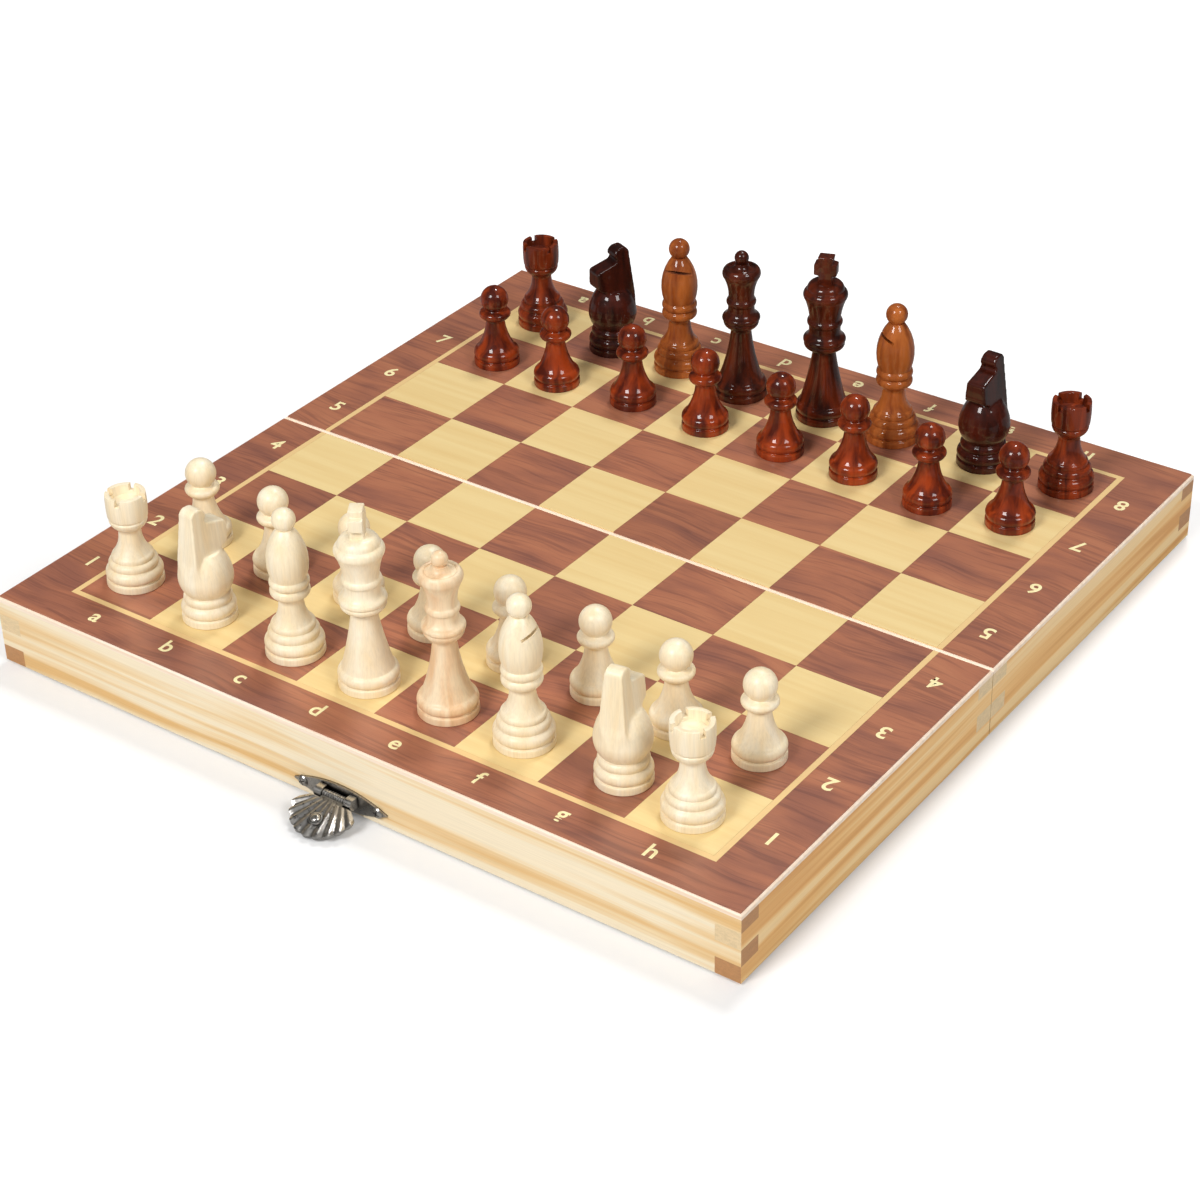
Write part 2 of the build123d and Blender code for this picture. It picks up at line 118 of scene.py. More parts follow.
def streaks(tree, place, stretch, detail=2.0, distortion=0.0):
    # noise drawn out by stretch, in cycles a metre along each axis
    spread = addNode(tree, "Mapping", {"Vector": place, "Scale": stretch}).outputs[0]
    return addNode(
        tree, "TexNoise", {"Vector": spread, "Scale": 1.0, "Detail": detail, "Distortion": distortion}
    ).outputs[0]


def addBump(tree, shader, height, strength, distance):
    bump = addNode(tree, "Bump", {"Height": height, "Strength": strength, "Distance": distance})
    tree.links.new(bump.outputs[0], shader.inputs["Normal"])


# Case materials

pineLook = {
    "faces": (
        (rgb(247, 230, 198), rgb(242, 213, 165), rgb(231, 187, 123)),  # rails along X, palest first
        (rgb(251, 216, 158), rgb(244, 195, 124), rgb(228, 166, 92)),  # side rails: deeper and more orange, partly the pine's own tone and partly painted shade of the less lit side faces
    ),
    "endPale": rgb(236, 208, 162),
    "endBrown": rgb(196, 142, 92),
    "bands": 210,  # growth bands a metre across the grain
    "bandsAlong": 4.0,
    "upperFingers": 0.009,  # side rails: the end grain is paler above this height
    "foldFingers": 0.03,  # rails along X: the end grain is paler this near to the fold
    "finish": {"Roughness": 0.42, "Coat Weight": 0.15, "Coat Roughness": 0.3},
}


def pine(name, axis):
    # axis is the direction of the grain, 0 for X and 1 for Y
    material, tree, shader = newMaterial(name, pineLook["finish"])
    texture = addNode(tree, "TexCoord")
    place = texture.outputs["Object"]
    along, across = pineLook["bandsAlong"], pineLook["bands"]
    stretch = (along, across, across) if axis == 0 else (across, along, across)
    wave = streaks(tree, place, (9.0, 9.0, 9.0), 1.0)
    offset = addNode(tree, "VectorMath", {0: (0.006, 0.006, 0.006)}, operation="SCALE")
    tree.links.new(wave, offset.inputs["Scale"])
    bent = addNode(tree, "VectorMath", {0: place, 1: offset.outputs[0]}, operation="ADD").outputs[0]
    bands = streaks(tree, bent, stretch, 2.5, 0.25)
    fine = tuple(30.0 if n == axis else 2600.0 for n in range(3))
    fibres = streaks(tree, place, fine, 2.0)
    face = ramp(tree, bands, list(zip((0.4, 0.49, 0.6), pineLook["faces"][axis])))
    normal = addNode(tree, "SeparateXYZ", {0: texture.outputs["Normal"]}).outputs[axis]
    cut = calc(tree, "GREATER_THAN", calc(tree, "ABSOLUTE", normal), 0.7)
    rings = streaks(tree, place, (500.0, 500.0, 900.0), 2.0, 0.8)
    parts = addNode(tree, "SeparateXYZ", {0: place})
    if axis == 0:
        fromFold = calc(tree, "ABSOLUTE", parts.outputs[1])
        paler = calc(tree, "LESS_THAN", fromFold, pineLook["foldFingers"])
    else:
        paler = calc(tree, "GREATER_THAN", parts.outputs[2], pineLook["upperFingers"])
    end = mixColour(tree, paler, pineLook["endBrown"], pineLook["endPale"])
    end = shaded(tree, 0.35, end, rings, (0.35, 1), (0.65, 0.66))
    colour = mixColour(tree, cut, face, end)
    colour = shaded(tree, 0.5, colour, fibres, (0.3, 0.86), (0.6, 1))
    tree.links.new(colour, shader.inputs["Base Color"])
    addBump(tree, shader, fibres, 0.15, 0.0001)
    return material


def plainWood(name, light, deep, roughness):
    material, tree, shader = newMaterial(name, {"Roughness": roughness})
    place = addNode(tree, "TexCoord").outputs["Object"]
    grain = streaks(tree, place, (12.0, 500.0, 900.0), 3.0)
    tree.links.new(ramp(tree, grain, [(0.35, light), (0.7, deep)]), shader.inputs["Base Color"])
    addBump(tree, shader, grain, 0.1, 0.0001)
    return material


veneerLook = {
    "square": 0.03,
    "redPale": rgb(192, 126, 92),
    "red": rgb(178, 113, 84),
    "brown": rgb(149, 95, 77),
    "streak": rgb(92, 58, 56),
    "light": rgb(238, 211, 150),
    "lightDeep": rgb(230, 198, 134),
    "line": rgb(233, 198, 138),
    "inside": 0.1212,  # from the middle to the border, across and along
    "frameLine": (0.12, 0.1211),  # from the middle to the thin line round the squares, in X and Y
    "darkFinish": {"Roughness": 0.36, "Coat Weight": 0.2, "Coat Roughness": 0.25},
    "lightFinish": {"Roughness": 0.4, "Coat Weight": 0.15, "Coat Roughness": 0.3},
}


def squareNumbers(tree, place):
    # one random value for each square of the board, and 0 all round the border
    parts = addNode(tree, "SeparateXYZ", {0: place})
    cells = []
    inside = None
    for n in range(2):
        cells.append(calc(tree, "FLOOR", calc(tree, "DIVIDE", parts.outputs[n], veneerLook["square"])))
        near = calc(tree, "LESS_THAN", calc(tree, "ABSOLUTE", parts.outputs[n]), veneerLook["inside"])
        inside = near if inside is None else calc(tree, "MULTIPLY", inside, near)
    cell = addNode(tree, "CombineXYZ", {0: cells[0], 1: cells[1]}).outputs[0]
    noise = addNode(tree, "TexWhiteNoise", {0: cell}, noise_dimensions="2D").outputs[0]
    return calc(tree, "MULTIPLY", noise, inside)


def darkVeneer():
    material, tree, shader = newMaterial("darkVeneer", veneerLook["darkFinish"])
    place = addNode(tree, "TexCoord").outputs["Object"]
    pick = squareNumbers(tree, place)
    lift = addNode(tree, "CombineXYZ", {2: calc(tree, "MULTIPLY", pick, 0.9)}).outputs[0]
    moved = addNode(tree, "VectorMath", {0: place, 1: lift}, operation="ADD").outputs[0]
    sway = streaks(tree, moved, (22.0, 30.0, 22.0), 1.0)
    offset = addNode(tree, "CombineXYZ", {1: calc(tree, "MULTIPLY", sway, 0.012)}).outputs[0]
    bent = addNode(tree, "VectorMath", {0: moved, 1: offset}, operation="ADD").outputs[0]
    body = streaks(tree, bent, (26.0, 90.0, 22.0), 3.0, 0.4)
    lines = streaks(tree, bent, (26.0, 620.0, 22.0), 3.0, 0.9)
    pores = streaks(tree, bent, (160.0, 3200.0, 22.0), 1.0)
    tones = [veneerLook[tone] for tone in ("brown", "red", "redPale")]
    colour = ramp(tree, body, list(zip((0.3, 0.55, 0.8), tones)))
    dark = ramp(tree, lines, [(0.36, level(1)), (0.5, level(0))])
    colour = mixColour(tree, calc(tree, "MULTIPLY", dark, 0.34), colour, veneerLook["streak"])
    colour = shaded(tree, 1.0, colour, pick, (0.0, 0.94), (0.5, 1), (1.0, 0.8))
    colour = shaded(tree, 0.4, colour, pores, (0.3, 0.8), (0.55, 1))
    tree.links.new(colour, shader.inputs["Base Color"])
    addBump(tree, shader, pores, 0.08, 0.0001)
    return material


def lightVeneer():
    material, tree, shader = newMaterial("lightVeneer", veneerLook["lightFinish"])
    place = addNode(tree, "TexCoord").outputs["Object"]
    grain = streaks(tree, place, (10.0, 260.0, 10.0), 3.0, 0.3)
    fine = streaks(tree, place, (70.0, 2400.0, 10.0), 1.0)
    parts = addNode(tree, "SeparateXYZ", {0: place})
    outside = calc(tree, "ADD", *[
        calc(tree, "GREATER_THAN", calc(tree, "ABSOLUTE", parts.outputs[n]), veneerLook["frameLine"][n])
        for n in range(2)
    ])
    colour = ramp(tree, grain, [(0.35, veneerLook["light"]), (0.75, veneerLook["lightDeep"])])
    colour = mixColour(tree, calc(tree, "MINIMUM", outside, 1.0), colour, veneerLook["line"])
    colour = shaded(tree, 0.3, colour, fine, (0.3, 0.95), (0.6, 1))
    tree.links.new(colour, shader.inputs["Base Color"])
    return material


def agedMetalPaintedShade(name, bright, recess, roughness):
    # plated metal with random blots of tone; the darkening where it is hollow is painted shade
    material, tree, shader = newMaterial(name, {"Metallic": 1.0})
    place = addNode(tree, "TexCoord").outputs["Object"]
    blot = streaks(tree, place, (900.0, 900.0, 900.0), 3.0)
    # painted shade: ambient occlusion turns the colour towards recess wherever other surfaces are near
    hollow = addNode(tree, "AmbientOcclusion", {"Distance": 0.0016}, samples=8).outputs["AO"]
    tone = ramp(tree, hollow, [(0.45, recess), (0.92, bright)])
    tone = shaded(tree, 0.35, tone, blot, (0.4, 0.62), (0.6, 1))
    tree.links.new(tone, shader.inputs["Base Color"])
    rough = addNode(tree, "MapRange", {0: blot, 3: roughness - 0.06, 4: roughness + 0.14}).outputs[0]
    tree.links.new(rough, shader.inputs["Roughness"])
    return material


feltLook = {
    "deep": rgb(24, 62, 42),
    "light": rgb(46, 98, 68),
    "finish": {"Roughness": 0.95, "Sheen Weight": 0.4},
}


def feltCloth():
    material, tree, shader = newMaterial("greenFelt", feltLook["finish"])
    place = addNode(tree, "TexCoord").outputs["Object"]
    nap = streaks(tree, place, (2500.0, 2500.0, 2500.0), 3.0)
    patch = streaks(tree, place, (60.0, 60.0, 60.0), 2.0)
    colour = ramp(tree, nap, [(0.3, feltLook["deep"]), (0.7, feltLook["light"])])
    colour = shaded(tree, 0.3, colour, patch, (0.35, 0.75), (0.65, 1))
    tree.links.new(colour, shader.inputs["Base Color"])
    addBump(tree, shader, nap, 0.6, 0.0004)
    return material


# Chessmen materials: the grain runs up the man, and each man shows another piece of the wood

def turnedWood(name, light, deep, finish, contrast=1.0, shade=1.0):
    material, tree, shader = newMaterial(name, finish)
    place = addNode(tree, "TexCoord").outputs["Object"]
    chance = addNode(tree, "ObjectInfo").outputs["Random"]
    upward = calc(tree, "MULTIPLY", chance, 3.0)
    shift = addNode(tree, "CombineXYZ", {0: chance, 1: chance, 2: upward}).outputs[0]
    moved = addNode(tree, "VectorMath", {0: place, 1: shift}, operation="ADD").outputs[0]
    grain = streaks(tree, moved, (240.0, 240.0, 26.0), 3.0, 0.5)
    fibres = streaks(tree, moved, (1900.0, 1900.0, 90.0), 2.0)
    colour = ramp(tree, grain, [(0.5 - 0.2 / contrast, light), (0.5 + 0.2 / contrast, deep)])
    colour = shaded(tree, 0.45, colour, fibres, (0.3, 0.82), (0.6, 1))
    # painted light: the colour is lighter towards the foot and darker up the man, standing for light the
    # board throws back onto it
    height = addNode(tree, "SeparateXYZ", {0: place}).outputs[2]
    rise = addNode(tree, "MapRange", {0: height, 1: 0.002, 2: 0.03, 3: 1.0, 4: shade}).outputs[0]
    paintedBoardLight = addNode(tree, "CombineColor", {0: rise, 1: rise, 2: rise}).outputs[0]
    colour = mixColour(tree, 1.0, colour, paintedBoardLight, "MULTIPLY")
    tree.links.new(colour, shader.inputs["Base Color"])
    addBump(tree, shader, fibres, 0.06, 0.0001)
    return material


satin = {"Roughness": 0.42, "Coat Weight": 0.2, "Coat Roughness": 0.25}
gloss = {"Roughness": 0.5, "Specular IOR Level": 0.12, "Coat Weight": 0.65, "Coat Roughness": 0.03}
whiteWood = turnedWood("whiteWood", rgb(253, 240, 212), rgb(248, 226, 184), satin)
tanWood = turnedWood("tanWood", rgb(248, 226, 190), rgb(236, 196, 150), satin, 1.2)
# the last number of each is the level at the top of the man, under the painted board light at its foot
blackWoods = {
    "pawn": turnedWood("redLacquer", rgb(166, 62, 18), rgb(84, 24, 7), gloss, 1.5, 0.72),
    "rook": turnedWood("rookLacquer", rgb(154, 58, 18), rgb(76, 22, 7), gloss, 1.5, 0.75),
    "bishop": turnedWood("amberLacquer", rgb(192, 106, 46), rgb(136, 64, 24), gloss, 1.4, 0.9),
    "knight": turnedWood("umberLacquer", rgb(84, 27, 12), rgb(40, 12, 6), gloss, 1.3, 0.65),
    "queen": turnedWood("chestnutLacquer", rgb(108, 40, 14), rgb(54, 17, 6), gloss, 1.4, 0.65),
    "king": turnedWood("kingLacquer", rgb(118, 42, 12), rgb(56, 17, 6), gloss, 1.4, 0.65),
}
magnetMetal = agedMetalPaintedShade("magnetNickel", rgb(205, 206, 208), rgb(90, 90, 92), 0.3)
silver = agedMetalPaintedShade("silverPaintedShade", rgb(214, 210, 204), rgb(46, 42, 38), 0.26)
brass = agedMetalPaintedShade("hingeBrass", rgb(222, 190, 120), rgb(96, 72, 36), 0.3)
sheetSteel = agedMetalPaintedShade("sheetSteel", rgb(190, 192, 196), rgb(110, 110, 112), 0.4)
print("materials made")


# Case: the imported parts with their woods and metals, their edges just broken

def paint(node, material):
    for slot in nodes[node].material_slots:
        slot.material = material


edgeLook = {"rail": 0.16, "latchPlate": 0.22, "keeper": 0.15, "sharpest": 40, "segments": 2}


def breakEdges(node, width):
    bevel = nodes[node].modifiers.new("brokenEdges", "BEVEL")
    bevel.width = width * mm
    bevel.segments = edgeLook["segments"]
    bevel.limit_method = "ANGLE"
    bevel.angle_limit = math.radians(edgeLook["sharpest"])
    bevel.harden_normals = False


pineX = pine("pineAlongX", 0)
pineY = pine("pineAlongY", 1)
rimWood = plainWood("rimWood", rgb(250, 232, 212), rgb(242, 214, 186), 0.42)
darkFace = darkVeneer()
lightFace = lightVeneer()
felt = feltCloth()
for half in ("front", "rear"):
    for piece, material in (
        ("outer_rail", pineX), ("hinge_rail", pineX), ("left_rail", pineY), ("right_rail", pineY),
        ("panel", rimWood), ("dark_veneer", darkFace), ("light_veneer", lightFace),
        ("steel_sheet", sheetSteel), ("lining", felt), ("hinge_leaves", brass),
    ):
        paint(half + "_" + piece, material)
    for piece in ("outer_rail", "hinge_rail", "left_rail", "right_rail"):
        breakEdges(half + "_" + piece, edgeLook["rail"])
for node in ("latch_plate", "latch_pin", "latch_lever", "latch_keeper"):
    paint(node, silver)
breakEdges("latch_plate", edgeLook["latchPlate"])
breakEdges("latch_keeper", edgeLook["keeper"])
paint("hinge_pins", brass)


def addPiece(name, mesh, body, material, stands=()):
    piece = bpy.data.objects.new(name, mesh)
    bpy.context.scene.collection.objects.link(piece)
    if not mesh.materials:
        mesh.materials.append(material)
    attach(piece, body)
    if stands:
        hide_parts(*stands)
    return piece


def meshFrom(name, form, smoothAngle=40):
    bmesh.ops.recalc_face_normals(form, faces=form.faces)
    mesh = bpy.data.meshes.new(name)
    form.to_mesh(mesh)
    form.free()
    mesh.shade_smooth()
    mesh.set_sharp_from_angle(angle=math.radians(smoothAngle))
    return mesh


# Lettering, printed on the border

letteringLook = {
    "colour": rgb(250, 238, 184),
    "worn": rgb(243, 226, 168),
    "size": 8.3,
    "weight": 0.16,
    "offAxis": 129.2,  # from the middle of the board to the middle of a letter
    "height": 24.03,
    "square": 30,
    "outward": 1.05,  # how far a number stands beyond the middle of its square
}


def lettering(name, half, marks):
    form = bmesh.new()
    for text, x, y, turn in marks:
        curve = bpy.data.curves.new("mark", "FONT")
        curve.body = text
        curve.size = letteringLook["size"] * mm
        curve.offset = letteringLook["weight"] * mm
        curve.align_x = "CENTER"
        sample = bpy.data.objects.new("mark", curve)
        flat = bpy.data.meshes.new_from_object(sample)
        low = min(v.co.y for v in flat.vertices)
        high = max(v.co.y for v in flat.vertices)
        middle = 0.3 * letteringLook["size"] * mm if text.isalpha() else (low + high) / 2
        spot = Matrix.Translation((x * mm, y * mm, letteringLook["height"] * mm))
        place = spot @ Matrix.Rotation(turn, 4, "Z")
        flat.transform(place @ Matrix.Translation((0, -middle, 0)))
        form.from_mesh(flat)
        bpy.data.objects.remove(sample)
        bpy.data.curves.remove(curve)
        bpy.data.meshes.remove(flat)
    mesh = bpy.data.meshes.new(name)
    form.to_mesh(mesh)
    form.free()
    material, tree, shader = newMaterial(name + "Ink", {"Roughness": 0.45})
    place = addNode(tree, "TexCoord").outputs["Object"]
    worn = streaks(tree, place, (700.0, 700.0, 700.0), 2.0)
    ink = ramp(tree, worn, [(0.35, letteringLook["worn"]), (0.6, letteringLook["colour"])])
    tree.links.new(ink, shader.inputs["Base Color"])
    addPiece(name, mesh, half, material)


frontMarks = []
rearMarks = []
edge = letteringLook["offAxis"]
for n in range(8):
    across = (n - 3.5) * letteringLook["square"]
    up = math.copysign(abs(across) + letteringLook["outward"], across)
    frontMarks.append(("abcdefgh"[n], across, -edge, 0))
    rearMarks.append(("abcdefgh"[n], across, edge, math.pi))
    marks = frontMarks if n < 4 else rearMarks
    marks.append((str(n + 1), -edge, up, 0))
    marks.append((str(n + 1), edge, up, math.pi))
lettering("frontLettering", "front_half", frontMarks)
lettering("rearLettering", "rear_half", rearMarks)
print("board dressed")


# Turned work

footLook = {
    "magnet": 4.5,
    "metalEdge": 4.6,  # what is nearer to the axis than this, at the foot, is magnet
    "underside": [[(4.55, 0.7)], [(4.55, 0.1)], [(4.65, 0.0)]],
}
heights = {"pawn": 30.0, "rook": 32.4, "bishop": 50.4, "queen": 55.0, "king": 61.0}
feet = {"pawn": 8.2, "rook": 9.2, "bishop": 9.3, "knight": 8.7, "queen": 9.3, "king": 9.4}

# Outlines above the foot in millimetres, (radius, height). One point ends a straight stretch, and
# two points are an arc that passes the first and ends at the second.
outlines = {
    "pawn": [
        [(6.6, 6.7)], [(4.55, 11.0), (3.3, 16.8)], [(3.5, 17.5)], [(5.0, 18.2), (5.6, 19.2)],
        [(5.5, 20.1), (4.9, 20.7)], [(4.0, 21.0)], [(3.4, 21.4)],
    ],
    "rook": [
        [(7.7, 6.7)], [(7.9, 7.9), (7.1, 9.0)], [(6.7, 9.2)], [(6.75, 10.2), (6.0, 11.2)],
        [(4.3, 14.4), (3.6, 18.2)], [(3.7, 19.5), (4.6, 20.6)], [(5.8, 22.0), (6.1, 23.2)],
        [(5.8, 23.5)], [(5.9, 23.8)], [(6.35, 24.3)], [(6.55, 28.0), (6.4, 32.4)],
        [(4.9, 32.4)], [(4.6, 29.2)], [(0, 29.2)],
    ],
    "bishop": [
        [(7.8, 6.7)], [(8.0, 7.9), (7.2, 9.2)], [(6.8, 9.4)], [(6.9, 10.5), (6.1, 11.5)],
        [(4.5, 14.5), (3.9, 17.8)], [(4.1, 19.8), (5.2, 20.6)], [(6.1, 21.6), (5.9, 23.3)],
        [(5.4, 23.7)], [(5.5, 24.0)], [(6.2, 25.1), (5.8, 26.5)], [(5.5, 26.8)], [(5.6, 27.1)],
        [(6.4, 34.0), (2.6, 43.7)],
    ],
    "knight": [[(7.3, 6.7)], [(7.6, 8.2), (6.9, 9.2)], [(6.9, 9.6)], [(0, 9.8)]],
    "queen": [
        [(7.7, 6.8)], [(5.3, 14.6), (3.6, 24.6)], [(3.8, 25.4), (4.7, 26.4)],
        [(5.9, 27.5), (6.2, 28.6)], [(6.0, 28.9)], [(6.6, 29.7), (6.3, 30.8)], [(5.0, 32.0), (4.6, 33.6)],
        [(4.55, 34.8)], [(5.2, 36.0), (4.6, 37.4)], [(4.45, 38.4)], [(4.9, 41.9), (6.1, 45.2)],
        [(6.65, 47.0), (6.1, 48.4)], [(5.4, 48.8), (4.6, 48.3)], [(3.6, 48.6), (2.3, 50.4)],
    ],
    "king": [
        [(7.9, 6.8)], [(5.7, 15.6), (3.9, 25.4)], [(4.1, 26.2), (5.1, 27.0)],
        [(6.7, 27.6), (7.0, 28.8)], [(6.8, 29.1)], [(7.3, 30.0), (7.0, 31.0)], [(5.8, 32.2), (5.4, 34.2)],
        [(5.4, 35.4)], [(6.1, 36.6), (5.5, 38.0)], [(5.4, 38.8)], [(6.0, 42.0), (7.1, 45.4)],
        [(7.6, 47.2), (6.9, 48.5)], [(6.4, 48.8)], [(5.9, 50.4), (3.6, 51.6)], [(0, 52.2)],
    ],
}
balls = {"pawn": 5.0, "bishop": 3.7, "queen": 2.5}


def arcPoints(start, middle, end):
    # points of the circle through three points, about one each 9 degrees, without the start
    (ax, ay), (bx, by), (cx, cy) = start, middle, end
    d = 2 * (ax * (by - cy) + bx * (cy - ay) + cx * (ay - by))
    a2, b2, c2 = ax * ax + ay * ay, bx * bx + by * by, cx * cx + cy * cy
    ox = (a2 * (by - cy) + b2 * (cy - ay) + c2 * (ay - by)) / d
    oy = (a2 * (cx - bx) + b2 * (ax - cx) + c2 * (bx - ax)) / d
    radius = math.hypot(ax - ox, ay - oy)
    first, half, last = (math.atan2(y - oy, x - ox) for x, y in (start, middle, end))
    turn = (last - first) % (2 * math.pi)
    if (half - first) % (2 * math.pi) > turn:
        turn -= 2 * math.pi
    steps = max(4, math.ceil(abs(turn) / math.radians(9)))
    return [
        (ox + radius * math.cos(first + turn * n / steps), oy + radius * math.sin(first + turn * n / steps))
        for n in range(1, steps + 1)
    ]


def follow(start, stretches):
    points = [start]
    for stretch in stretches:
        if len(stretch) == 1:
            points.append(stretch[0])
        else:
            points += arcPoints(points[-1], *stretch)
    return points


sanding = {"radius": 0.22, "chestRadius": 0.2, "sharpest": 22}


def sanded(points, radius):
    # the outline with its sharp corners rounded, as sanding and lacquer leave them
    result = [points[0]]
    for before, here, after in zip(points, points[1:], points[2:]):
        back = Vector(before) - Vector(here)
        on = Vector(after) - Vector(here)
        turn = back.angle(-on) if back.length > 1e-6 and on.length > 1e-6 else 0
        if turn < math.radians(sanding["sharpest"]):
            result.append(here)
            continue
        reach = min(radius, back.length * 0.45, on.length * 0.45)
        first = Vector(here) + back.normalized() * reach
        last = Vector(here) + on.normalized() * reach
        middle = (first + last + 2 * Vector(here)) / 4
        result += [tuple(first), tuple(middle), tuple(last)]
    return result + [points[-1]]


def lathe(points, segments=72, magnet=0.0):
    form = bmesh.new()
    rings = []
    for r, z in points:
        if r < 1e-4:
            rings.append([form.verts.new((0, 0, z * mm))])
            continue
        turns = [2 * math.pi * n / segments for n in range(segments)]
        rings.append([form.verts.new((r * math.cos(a) * mm, r * math.sin(a) * mm, z * mm)) for a in turns])
    for (lowPoint, low), (highPoint, high) in zip(zip(points, rings), zip(points[1:], rings[1:])):
        metal = max(lowPoint[0], highPoint[0]) <= magnet and highPoint[1] < 1
        for n in range(segments):
            m = (n + 1) % segments
            corners = [low[n % len(low)], low[m % len(low)], high[m % len(high)], high[n % len(high)]]
            unique = list(dict.fromkeys(corners))
            face = form.faces.new(unique)
            face.material_index = 1 if metal else 0
    return form


def manOutline(kind):
    # the magnet, the foot's disc, groove and torus, and then what stands on them
    foot = feet[kind]
    magnet = footLook["magnet"]
    disc = [[(magnet - 0.1, 0)], [(magnet, 0.1)], [(magnet, 0.7)]]
    below = follow((0, 0), disc + footLook["underside"])
    above = [
        [(foot - 0.35, 0)], [(foot - 0.1, 0.1), (foot, 0.4)], [(foot, 1.4)], [(foot - 0.1, 2.4)],
        [(foot - 0.75, 2.6)], [(foot - 0.8, 2.95)], [(foot - 0.35, 3.15)],
        [(foot - 0.05, 4.6), (foot - 1.3, 6.4)],
    ]
    points = follow(below[-1], above + outlines[kind])
    if kind in balls:
        radius = balls[kind]
        centre = heights[kind] - radius
        low = math.asin(max(-0.9, (points[-1][1] - centre) / radius))
        start = (radius * math.cos(low), centre + radius * math.sin(low))
        points = points[:-1] if math.dist(start, points[-1]) < 0.15 else points
        middle = (radius * math.cos(0.4), centre + radius * math.sin(0.4))
        points += follow(start, [[middle, (0, heights[kind])]])
    return below[:-1] + sanded(points, sanding["radius"])


def bladeBlock(size, place):
    block = bmesh.new()
    bmesh.ops.create_cube(block, size=1.0)
    block.transform(place @ Matrix.Diagonal((*[s * mm for s in size], 1)))
    return block


def asObject(form, name):
    mesh = bpy.data.meshes.new(name)
    bmesh.ops.recalc_face_normals(form, faces=form.faces)
    form.to_mesh(mesh)
    form.free()
    thing = bpy.data.objects.new(name, mesh)
    bpy.context.scene.collection.objects.link(thing)
    return thing


def carve(form, cutters, operation, after=()):
    # form cut by each cutter, and then worked on by the modifiers in after
    blank = asObject(form, "blank")
    spent = [blank]
    for cutter in cutters:
        tool = asObject(cutter, "cutter")
        spent.append(tool)
        cut = blank.modifiers.new("cut", "BOOLEAN")
        cut.operation = operation
        cut.solver = "EXACT"
        cut.object = tool
    for kind, settings in after:
        modifier = blank.modifiers.new(kind, kind)
        for key, value in settings.items():
            setattr(modifier, key, value)
    bpy.context.view_layer.update()
    ready = blank.evaluated_get(bpy.context.evaluated_depsgraph_get())
    result = bmesh.new()
    result.from_mesh(ready.to_mesh())
    ready.to_mesh_clear()
    for thing in spent:
        mesh = thing.data
        bpy.data.objects.remove(thing)
        bpy.data.meshes.remove(mesh)
    return result


def joinForm(form, other):
    rest = bpy.data.meshes.new("rest")
    other.to_mesh(rest)
    other.free()
    form.from_mesh(rest)
    bpy.data.meshes.remove(rest)


def slab(points, thickness, plane):
    # a flat shape, given in millimetres, with half its thickness to each side of the plane
    form = bmesh.new()
    front = [form.verts.new((x * mm, y * mm, -thickness / 2 * mm)) for x, y in points]
    back = [form.verts.new((x * mm, y * mm, thickness / 2 * mm)) for x, y in points]
    form.faces.new(front)
    form.faces.new(list(reversed(back)))
    for n in range(len(points)):
        m = (n + 1) % len(points)
        form.faces.new([front[n], back[n], back[m], front[m]])
    form.transform(plane)
    return form


sideView = Matrix.Rotation(math.pi / 2, 4, "X")  # a drawing in (forward, up)
frontView = Matrix.Rotation(math.pi / 2, 4, "Z") @ sideView  # a drawing in (left, up)

rookNotch = {"width": 1.8, "floor": 30.2}
bishopSlot = {"width": 0.95, "slope": 29.0, "height": 37.0, "bottom": 2.2}
knightLook = {
    "chest": [
        [(6.7, 7.0)], [(6.7, 9.6)], [(8.2, 12.2), (8.7, 15.2)], [(7.8, 19.6), (5.4, 24.0)], [(0, 24.6)],
    ],
    "blank": [[(6.7, 10.0)], [(7.6, 12.0), (8.4, 16.0)], [(8.2, 22.0)], [(8.2, 42.6)], [(0, 42.6)]],
    "side": [
        [(-8.7, 11.0)], [(-8.3, 17.0), (-7.2, 22.0)], [(-5.7, 37.6)], [(-4.9, 39.6), (-2.9, 40.0)],
        [(-0.5, 39.2), (0.1, 36.8)], [(-0.5, 35.4), (0.3, 34.7)], [(6.3, 33.0)], [(7.2, 32.5), (7.5, 31.4)],
        [(7.3, 27.4)], [(6.9, 25.8), (5.2, 25.0)], [(4.3, 24.2)], [(4.3, 11.0)],
    ],
    "flank": [[(6.6, 15.0)], [(4.9, 19.0), (4.1, 24.0)], [(2.6, 41.0)]],
    "voxel": 0.28,
    "smoothing": 10,
}
kingCross = {
    "outline": [(2.7, 50.6), (2.2, 54.2), (3.9, 54.5), (3.9, 58.4), (2.3, 58.7), (2.7, 61.0)],
    "thickness": 4.4,
    "softening": 0.35,
}


def knightForm():
    # the neck and head are sawn from the turned blank, and the chest in front of them stays turned
    head = lathe(follow((0, 10.0), knightLook["blank"]))
    side = follow(knightLook["side"][0][0], knightLook["side"][1:])
    half = follow((9.0, 11.0), knightLook["flank"])
    front = half + [(-x, z) for x, z in reversed(half)]
    head = carve(head, [slab(side, 30, sideView), slab(front, 30, frontView)], "INTERSECT")
    chest = lathe(sanded(follow((0, 7.0), knightLook["chest"]), sanding["chestRadius"]))
    rounding = [
        ("REMESH", {"mode": "VOXEL", "voxel_size": knightLook["voxel"] * mm, "use_smooth_shade": True}),
        ("SMOOTH", {"factor": 0.5, "iterations": knightLook["smoothing"]}),
    ]
    horse = carve(chest, [head], "UNION", rounding)
    body = lathe(manOutline("knight"), magnet=footLook["metalEdge"])
    joinForm(body, horse)
    return body


def crossForm(form):
    outline = kingCross["outline"] + [(-x, z) for x, z in reversed(kingCross["outline"])]
    edges = {"width": kingCross["softening"] * mm, "segments": 3, "limit_method": "ANGLE"}
    joinForm(form, carve(slab(outline, kingCross["thickness"], sideView), [], "UNION", [("BEVEL", edges)]))


